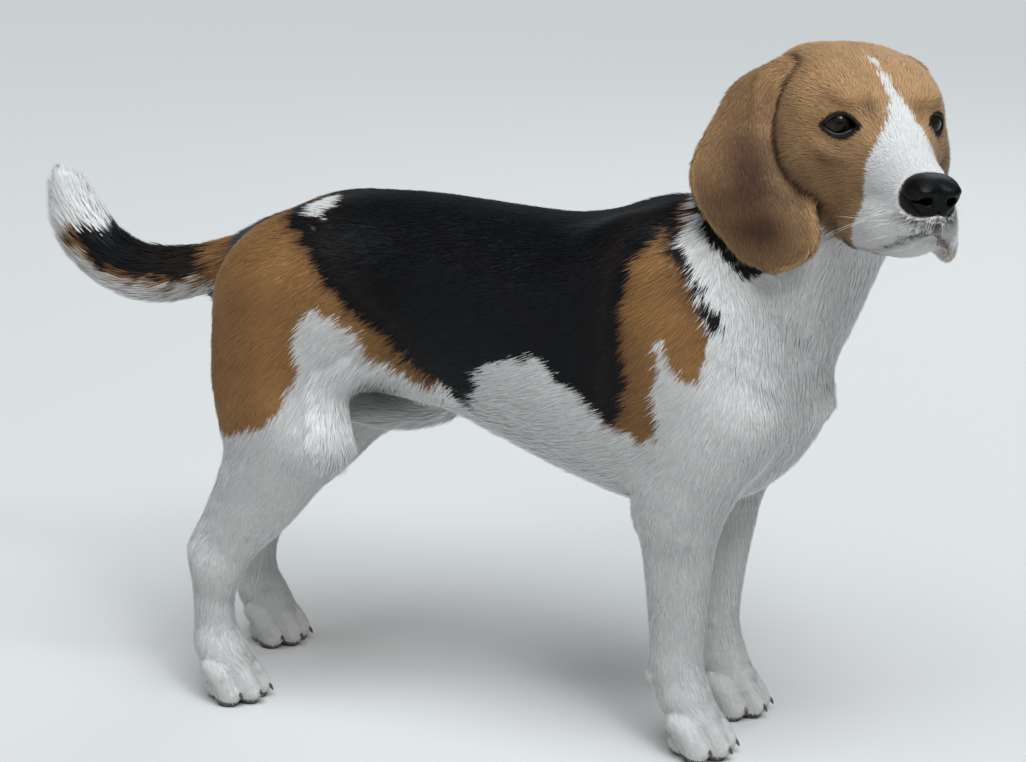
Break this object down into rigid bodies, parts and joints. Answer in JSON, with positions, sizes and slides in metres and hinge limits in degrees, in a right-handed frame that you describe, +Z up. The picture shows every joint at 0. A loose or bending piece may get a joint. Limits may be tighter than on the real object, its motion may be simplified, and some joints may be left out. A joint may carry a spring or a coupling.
{
  "type": "beagle dog, standing",
  "caption": "Still, life-size model of a short-coated tricolour hound standing on four feet, head turned to its right, ears hanging, tail curved up.",
  "frame": {"origin": "on the floor, under the middle of the dog's bounding box", "axes": "+X towards the dog's chest, +Y towards its left side, +Z up"},
  "size_m": [0.6924, 0.2108, 0.4887],
  "materials": {
    "coat_white": "short soft fur, matt",
    "coat_tan": "short soft fur, matt, golden to reddish brown",
    "coat_black": "short sleek fur with a faint sheen",
    "nose_leather": "moist pebbled black leather",
    "eye": "wet gloss over a dark brown iris",
    "claw": "smooth horn, satin"
  },
  "bodies": {
    "root": {"claw_fore_left_1": "claw", "claw_fore_left_2": "claw", "claw_fore_left_3": "claw", "claw_fore_left_4": "claw", "claw_fore_right_1": "claw", "claw_fore_right_2": "claw", "claw_fore_right_3": "claw", "claw_fore_right_4": "claw", "claw_hind_left_1": "claw", "claw_hind_left_2": "claw", "claw_hind_left_3": "claw", "claw_hind_left_4": "claw", "claw_hind_right_1": "claw", "claw_hind_right_2": "claw", "claw_hind_right_3": "claw", "claw_hind_right_4": "claw", "ear_left": "coat_tan", "ear_right": "coat_tan", "eye_left": "eye", "eye_right": "eye", "foreleg_left_lower": "coat_white", "foreleg_left_paw": "coat_white", "foreleg_left_shoulder": "coat_tan", "foreleg_left_upper": "coat_white", "foreleg_right_lower": "coat_white", "foreleg_right_paw": "coat_white", "foreleg_right_shoulder": "coat_tan", "foreleg_right_upper": "coat_white", "head_jaw": "coat_white", "head_muzzle": "coat_white", "head_nose": "nose_leather", "head_skull": "coat_tan", "hindleg_left_hock": "coat_white", "hindleg_left_paw": "coat_white", "hindleg_left_shank": "coat_white", "hindleg_left_thigh": "coat_tan", "hindleg_right_hock": "coat_white", "hindleg_right_paw": "coat_white", "hindleg_right_shank": "coat_white", "hindleg_right_thigh": "coat_tan", "neck": "coat_white", "tail_base": "coat_tan", "tail_end": "coat_black", "tail_middle": "coat_black", "tail_tip": "coat_white", "trunk_chest": "coat_white", "trunk_loin": "coat_black", "trunk_ribs": "coat_black", "trunk_rump": "coat_tan"}
  },
  "joints": []
}
